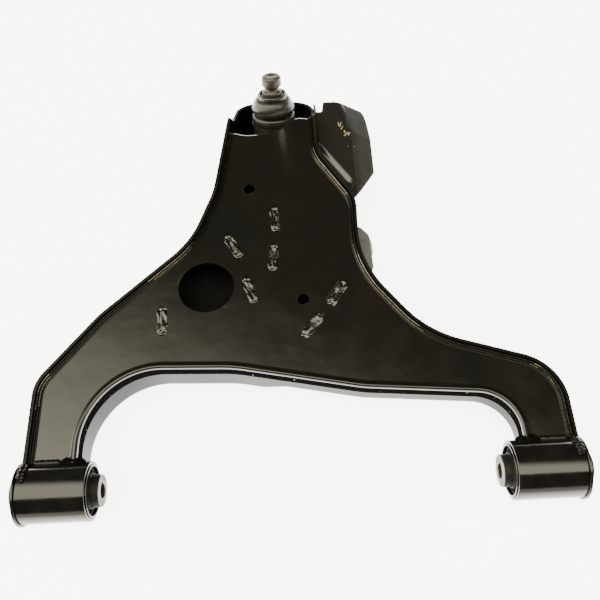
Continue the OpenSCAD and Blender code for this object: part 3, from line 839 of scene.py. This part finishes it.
def ball_joint():
    low = (DROOP_Y - BALL.y) * math.sin(TILT) + (FLOOR_Z - BALL.z) * math.cos(TILT)
    flange, ring = low - FIT, low + SHEET + FIT
    in_ball_frame("ball_housing_turned", [
        (19.5, flange - 5), (28.5, flange - 5), (28.5, flange), (25, flange), (25, ring), (23.5, ring),
        (23.5, ring + 2.1), (25, ring + 2.1), (25, 4), (22.5, 5.5), (22.5, 11.5), (23.5, 12), (23.5, 13.5),
        (20.5, 13.5), (15, 7.05), (19.5, 7.05)], HOUSING, "ball_joint_housing")
    in_ball_frame("ball_cover_pressed", [
        (0, flange - 5), (5, flange - 5), (14, flange - 5), (17.4, flange - 4.6), (19.45, flange - 4.9),
        (19.45, flange - 2.5), (12, flange - 2.5), (9, flange - 3.5), (0, flange - 3.5)],
        HOUSING, "ball_joint_cover", r=0.8)

    def fold(turn, radius, z):
        crease = 26.5 + 4.5 * np.sin(turn + 2.2)
        dent = 0.55 * np.exp(-((z - crease) / 2.2) ** 2) if z > 21.5 else 0
        return 0.10 * np.sin(turn * 4 + z / 3) - dent, 0.06 * np.sin(turn * 7)

    in_ball_frame("boot_lower_convolution", [
        (22.6, 6), (25.2, 6), (25.4, 7), (25.7, 8.2), (26.2, 10.5), (26.3, 13), (26.0, 15.4), (25.3, 17.4),
        (24.2, 18.6), (21.7, 18.6), (22.0, 17.4), (23.4, 15.5), (24, 13), (24, 12.1), (22.65, 11.4)],
        BOOT, "boot_lower", segments=128, r=0.5, shape=fold,
        blended=("root", "boot_waist", 8, 18.6))
    in_ball_frame("boot_clamp_ring_wound", [(25.5, 6.5), (26.7, 6.5), (26.7, 8), (25.5, 8)],
                  RING, "boot_lower_ring", r=0.5)
    in_ball_frame("boot_waist_ring_moulded", [(21.6, 18.7), (23.4, 18.7), (23.4, 20.7), (21.6, 20.7)],
                  BOOT, "boot_waist_ring", body="boot_waist", r=0.5)
    in_ball_frame("boot_upper_convolution", [
        (21.65, 20.8), (24.2, 20.8), (25.2, 22.4), (25.6, 24.6), (25.5, 26.6), (25.0, 28.6), (24.1, 30.8),
        (22.9, 33.1), (21.7, 35.1), (20.4, 36.9), (19, 37.7), (17.45, 38.1), (17.45, 36.3), (19, 35.4),
        (20.6, 32.5), (21.8, 30), (22.7, 27.5), (23, 25), (22.6, 22.6)],
        BOOT, "boot_upper", segments=128, r=0.5, shape=fold,
        blended=("boot_waist", "boot_neck", 20.8, 33))
    in_ball_frame("boot_collar_moulded", [
        (11.26, 37.2), (17.2, 37.2), (17.2, 38.4), (14.4, 38.4), (14.4, 40.4), (12.8, 42), (11.26, 42)],
        BOOT, "boot_collar", body="boot_neck", r=0.4)
    in_ball_frame("boot_collar_ring_rolled", [
        (14.5, 38.5), (17.35, 38.5), (17.4, 41), (17.2, 43), (16.2, 43.6), (15.2, 43.2), (14.5, 42.6)],
        RING, "boot_collar_ring", body="boot_neck", r=0.5)

    def forged(turn, radius, z):
        ring = 0.04 * np.sin(z * 2.6) if z > 44 else 0
        return ring, 0

    ball = [(BALL_R * math.cos(a), BALL_R * math.sin(a)) for a in np.radians(np.linspace(-89.5, 50, 26))]
    stud = [(0, -BALL_R)] + ball + [
        (8.9, 14.6), (8.5, 16.5), (8.5, 24), (11.2, 35), (11.2, 43.9), (11.5, 44.2), (11.5, 46.4),
        (10.6, 47.2), (9.3, 48.2), (8.75, 49.2), (8.7, 50.3), (8.75, 51.4), (9.3, 52.4), (10.6, 53.4),
        (11.5, 54.2), (11.5, 58), (11.5, 61.8), (11.1, 63.3), (10.2, 64.5), (8.9, 65.2), (5, 65.2),
        (4.2, 64.6), (0, 64.3)]
    in_ball_frame("ball_stud_forged", stud, STUD, "ball_stud", body="stud", r=0.5,
                  shape=forged)


# ---------- brackets ----------
def wall_points(y0, y1, step):
    """The front wall between two distances outboard, as a path that runs outboard."""
    path, inwards = outline_path(*OUTER, step)
    keep = [k for k in range(len(path) // 2) if y0 <= path[k][1] <= y1]
    return path[keep], inwards[keep]


def bracket_sheet(name, outline, height, finish, node, spacing, y0, y1):
    """A bracket of sheet whose inner edge follows the arm's wall."""
    wall, inwards = wall_points(y0, y1, 4.0)
    loop = np.concatenate([outline, (wall + inwards)[::-1]])  # 1 mm into the wall
    points, faces = filled(loop, [], spacing, spacing * 0.5)
    co = np.column_stack([points, height(points)])
    obj = piece(name, [(co, faces)], finish, [node], up=1)
    thicken(obj, 0.8)
    return obj


def rounded_open(points):
    """An open polyline of (x, y, radius) with its inner corners rounded."""
    out = [np.array(points[0][:2], float)]
    for i in range(1, len(points) - 1):
        a, b, c = (np.array(points[i + k][:2], float) for k in (-1, 0, 1))
        u, v = (b - a) / np.linalg.norm(b - a), (c - b) / np.linalg.norm(c - b)
        swing = math.acos(min(1, max(-1, float(u @ v))))
        room = 0.45 * min(np.linalg.norm(b - a), np.linalg.norm(c - b))
        back = min(points[i][2] * math.tan(swing / 2), room)
        p, q = b - u * back, b + v * back
        for t in np.linspace(0, 1, max(3, math.ceil(swing * points[i][2] / PATH_STEP) + 1)):
            out.append(p * (1 - t) ** 2 + 2 * b * t * (1 - t) + q * t * t)
    out.append(np.array(points[-1][:2], float))
    dense = [out[0]]
    for a, b in zip(out[:-1], out[1:]):
        n = max(1, round(float(np.linalg.norm(b - a)) / (2 * PATH_STEP)))
        dense += [a + (b - a) * k / n for k in range(1, n + 1)]
    return np.array(dense)


PAD_Z, TAB_Z = -2.0, -20.0  # tops of the two brackets
JOGGLE, JOGGLE_END = np.array([37.6, 392.0]), np.array([74.0, 333.0])
BEND_X, BEND_Y, BEND_FALL = 80.5, 405, 0.7


def pad_height(points):
    """The pad is level, and bends down along its front edge and its outboard corner."""
    x, y = points[:, 0], points[:, 1]
    a = math.radians(18)
    corner = (x - BEND_X) * math.cos(a) + (y - BEND_Y) * math.sin(a)
    fall = np.maximum(np.maximum(x - BEND_X, corner) * BEND_FALL, -20)
    # beside the wall it is joggled down
    run = (JOGGLE_END - JOGGLE) / np.linalg.norm(JOGGLE_END - JOGGLE)
    share = (points - JOGGLE) @ run / np.linalg.norm(JOGGLE_END - JOGGLE)
    side = (points - JOGGLE) @ np.array([-run[1], run[0]])
    low = 2.6 * (1 - smooth_step((side + 3.2) / 6.4))
    low *= smooth_step((share + 0.10) / 0.2) * smooth_step((1.10 - share) / 0.2)
    return soft_min(np.full(len(x), PAD_Z), PAD_Z - fall, 3.0) - 0.02 - low


def brackets():
    pad = rounded_open([(71, 309, 1), (73, 311, 4), (82, 322, 10), (101.5, 357, 10), (101.5, 408, 30),
                        (99.5, 441, 8), (96, 456, 5), (46.8, 456, 2), (44.5, 441, 1), (33, 441, 1)])
    sheet = bracket_sheet("bump_pad_pressed", pad, pad_height, BRACKET, "bump_stop_bracket", 2.5, 310, 440)
    sheet.data.materials.append(FLANGE_PAINTED_LIGHT)
    # The bent faces turned towards the light get the lighter copy: painted light.
    for face in sheet.data.polygons:
        if face.center.x > (BEND_X - 8) * MM and 0.3 < face.normal.z < 0.992:
            face.material_index = 1
    tab = rounded_open([(69, 217, 1), (84, 221, 5), (89.5, 232, 6), (88, 274, 6), (80, 284, 4), (73, 287, 1)])
    bracket_sheet("side_tab_pressed", tab, lambda p: np.full(len(p), TAB_Z) + 0.1 * waves(p, 20, 5) - 0.1,
                  TAB, "side_bracket", 5.0, 218, 286)
    beads = (("bump_pad_weld_bead", "bump_stop_weld", 312, 452, PAD_Z, 3.0, 5),
             ("side_tab_weld_bead", "side_bracket_weld", 220, 284, TAB_Z, 2.3, 6))
    for name, node, y0, y1, z, size, seed in beads:
        path, inwards = wall_points(y0, y1, 1.0)
        section = [(0.3, z - 0.4, 0), (0.3, z + size, 0), (-0.5, z + size * 0.75, 0.6),
                   (-size * 0.35, z + size * 0.35, 0.7), (-size * 0.8, z + 0.35, 0.6), (-size, z - 0.4, 0)]
        co, faces = bead_along(path, inwards, section, seed, 0.16)
        piece(name, [(co, faces)], WELD, [node])


# ---------- beads between the legs and the tubes ----------
def lumpy_bead(centres, normals, binormals, r, seed, pitch=3.4, lumpy=1.0):
    """A bead of overlapping lumps along a line of centres."""
    count, around = len(centres), 14
    length = np.cumsum(np.linalg.norm(np.diff(centres, axis=0, prepend=centres[:1]), axis=1))
    co = np.zeros((around, count, 3))
    taper = np.sqrt(np.clip(np.minimum(length, length[-1] - length) / (1.1 * r), 0.02, 1))
    lump = 1 - lumpy * 0.22 * (1 - np.abs(np.sin(math.pi * length / pitch + 1.5 * np.sin(length / 7 + seed))))
    for k in range(around):
        a = 2 * math.pi * k / around
        rough = np.array([noise.fractal(Vector((v / 2.4, math.cos(a), math.sin(a) + seed)), 0.9, 2, 3)
                          for v in length])
        radius = r * taper * (lump + 0.16 * lumpy * rough)
        co[k] = centres + radius[:, None] * (math.cos(a) * normals + math.sin(a) * binormals)
    starts = tuple(k * count for k in range(around))
    ends = tuple(k + count - 1 for k in starts)
    return co.reshape(-1, 3), quads(around, count, loop=True) + [starts[::-1], ends]


def round_tube(x, top, low, r, side):
    """Centres and directions for a bead that lies on the tube, round it at one place."""
    a = np.radians(np.arange(low, top, 1.0))
    centres = np.stack([np.broadcast_to(side * x, len(a)), r * np.cos(a), r * np.sin(a)], 1)
    normals = np.stack([np.zeros(len(a)), np.cos(a), np.sin(a)], 1)
    across = np.tile([float(side), 0, 0], (len(a), 1))
    return centres, normals, across


def sloping(count):
    """Directions out of and up the slope between a tube and the plate, for a bead that runs along X."""
    return np.tile([0, 0.35, 0.94], (count, 1)), np.tile([0, 0.94, -0.35], (count, 1))


# The legs at the tubes: [side, name, outer edge, inner edge]
LEGS = [(1, "front", 255, 206), (-1, "rear", 254, 205)]


def tube_welds():
    """The beads, and the crust beside them where the arch meets each tube, dark with a finish of painted
    shade.
    """
    for side, where, outer, inner in LEGS:
        r = TUBE_R + 0.3
        parts = [lumpy_bead(*round_tube(outer - 2.6, 80, -42, r, side), 2.9, 10 * side, 4.2, 1.5),
                 lumpy_bead(*round_tube(outer - 6.2, 84, 30, r, side), 2.4, 11 * side, 4.8, 1.7),
                 lumpy_bead(*round_tube(inner + 0.3, 34, -48, r, side), 2.5, 12 * side)]
        x = np.arange(inner + 13, outer - 8, 0.7)
        z = PLATE_Z + 1.2
        y = math.sqrt(r * r - z * z) + 0.4
        centres = np.stack([side * x, np.full(len(x), y), np.full(len(x), z)], 1)
        parts.append(lumpy_bead(centres, *sloping(len(x)), 3.3, 20 * side, 6.0, 0.35))
        crust = []
        x = np.arange(inner - 9, inner + 15, 0.6)
        for k, (lift, size, first) in enumerate(((3.2, 3.4, 0), (0.2, 3.6, 4), (-3.4, 3.2, 8))):
            z = PLATE_Z + lift + 1.2 * np.sin(x[first:] / 2.7 + k)
            y = np.sqrt(r * r - z * z) + 1.0
            centres = np.stack([side * x[first:], y, z], 1)
            crust.append(lumpy_bead(centres, *sloping(len(z)), size, 30 * side + k, 3.6, 1.9))
        piece(f"{where}_leg_weld_crust", crust, PAINTED_SHADE_AND_GLINT_WELD, [], merge=0.001)
        piece(f"{where}_leg_weld_lumps", parts, WELD, [f"{where}_tube_weld"], merge=0.001)


def weld_spots():
    """Bare tack marks on the bump stop bracket's pad: [x, y, angle, size, length]"""
    parts = []
    marks = ((63.5, 421, 95, 0.9, 8), (66, 420, 75, 1.3, 9), (67.5, 415, 60, 1.0, 7), (70, 409, 100, 1.2, 6),
             (72, 405, 40, 1.7, 9), (75, 405, 70, 1.1, 6), (80, 386, 20, 0.6, 2), (72.5, 387, 60, 0.6, 2))
    for k, (x, y, angle, size, length) in enumerate(marks):
        a = math.radians(angle)
        along = np.arange(-length / 2, length / 2, 0.4)
        centres = np.stack([x + along * math.cos(a), y + along * math.sin(a),
                            np.full(len(along), PAD_Z - 0.3 * size)], 1)
        up = np.tile([0, 0, 1.0], (len(along), 1))
        out = np.tile([math.sin(a), -math.cos(a), 0], (len(along), 1))
        parts.append(lumpy_bead(centres, up, out, size, 40 + k, 2.2, 1.8))
    piece("bump_pad_tack_marks", parts, BARE, [], merge=0.001)


# ---------- camera, floor and light ----------
def camera():
    target, distance = Vector((7, 186, 0)), 718.0
    elevation, roll = math.radians(63), math.radians(-2.85)
    away = Vector((0, -math.cos(elevation), math.sin(elevation)))
    data = bpy.data.cameras.new("photo_camera")
    data.lens = 41.4
    obj = linked("photo_camera", data)
    right, up = Vector((1, 0, 0)), away.cross(Vector((1, 0, 0)))
    tilted_right = right * math.cos(roll) + up * math.sin(roll)
    tilted_up = up * math.cos(roll) - right * math.sin(roll)
    turn = Matrix((tilted_right, tilted_up, away)).transposed().to_4x4()
    obj.matrix_world = Matrix.Translation((target + away * distance) * MM) @ turn
    bpy.context.scene.camera = obj


def floor():
    mesh = bpy.data.meshes.new("floor")
    size, level = 6.0, CAD_BOX[0].z - 0.0005  # metres
    mesh.from_pydata([(x * size, y * size, level) for x, y in ((-1, -1), (1, -1), (1, 1), (-1, 1))], [],
                     [(0, 1, 2, 3)])
    obj = linked("floor", mesh)
    material = bpy.data.materials.new("glowing_pale_floor")
    material.use_nodes = True
    tree = material.node_tree
    shader = tree.nodes["Principled BSDF"]
    shader.inputs["Base Color"].default_value = (0.9, 0.9, 0.9, 1)
    shader.inputs["Roughness"].default_value = 0.9
    shader.inputs["Emission Color"].default_value = (1, 1, 1, 1)
    place = tree.nodes.new("ShaderNodeTexCoord").outputs["Object"]
    away = tree.nodes.new("ShaderNodeVectorMath")
    away.operation = "DISTANCE"
    away.inputs[1].default_value = (0, 0.33, level)
    tree.links.new(place, away.inputs[0])
    apart = tree.nodes.new("ShaderNodeSeparateXYZ")
    tree.links.new(place, apart.inputs[0])
    # the floor glows and lights the arm: bright round the arm, and dim far away and inboard of the tubes,
    # where it would light their sides
    near = ramp(tree, away.outputs["Value"], 1.4, 2.4, 6.0, 0.6, "SMOOTHSTEP")
    outboard = ramp(tree, apart.outputs["Y"], -0.30, -0.085, 0.05, 1, "SMOOTHSTEP")
    tree.links.new(times(tree, near, outboard), shader.inputs["Emission Strength"])
    mesh.materials.append(material)


def softbox(name, place, radiance, size, colour):
    """A rectangular light of that brightness, in metres, that faces the arm."""
    data = bpy.data.lights.new(name, "AREA")
    data.shape = "RECTANGLE"
    data.size, data.size_y, data.color = size[0], size[1], colour
    data.energy = radiance * math.pi * size[0] * size[1]
    obj = linked(name, data)
    obj.location = place
    obj.rotation_euler = (Vector(place) - Vector((0, 0.2, 0))).to_track_quat("Z", "Y").to_euler()
    obj.visible_camera = False


# The overhead softbox's two edges: [the way across the edge into the light, where dark, where full]
SOFTBOX_EDGES = [((-0.424, -0.876, 0.233), -0.18, 0.21), ((0, 0.875, 0.485), -0.06, 0.02)]
SOFTBOX_LIGHT, ROOM_LIGHT = (6.4, 6.15, 4.7), (0.05, 0.05, 0.047)


def studio():
    """A dim room with a broad warm softbox overhead, and a small one at each side."""
    world = bpy.data.worlds.new("studio")
    bpy.context.scene.world = world
    world.use_nodes = True
    tree = world.node_tree
    sky = tree.nodes.new("ShaderNodeTexCoord").outputs["Generated"]
    lit = []
    for towards, dark, full in SOFTBOX_EDGES:
        dot = tree.nodes.new("ShaderNodeVectorMath")
        dot.operation = "DOT_PRODUCT"
        dot.inputs[1].default_value = towards
        tree.links.new(sky, dot.inputs[0])
        lit.append(ramp(tree, dot.outputs["Value"], dark, full, 0, 1, "SMOOTHSTEP"))
    light = mixed(tree, times(tree, *lit), ROOM_LIGHT, SOFTBOX_LIGHT)
    tree.links.new(light, tree.nodes["Background"].inputs["Color"])
    softbox("front_side", (2.3, 0.5, 0.9), 1.2, (0.8, 0.6), (1, 1, 1))
    softbox("rear_side", (-2.3, 0.6, 0.8), 1.8, (0.8, 0.6), (1.0, 0.97, 0.92))


camera()
floor()
studio()
upper_shell()
lower_shell()
rim_weld()
arch_weld()
plug_welds()
bushings()
ball_joint()
brackets()
tube_welds()
weld_spots()

CARRIED = {"inner_rib_front": PAINT, "inner_rib_middle": PAINT, "inner_rib_rear": PAINT,
           "inner_rib_leg": PAINT, "housing_retaining_ring": RING, "ball_seat": SEAT}
for node, finish in CARRIED.items():
    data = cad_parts[node].data
    data.materials.clear()
    data.materials.append(finish)
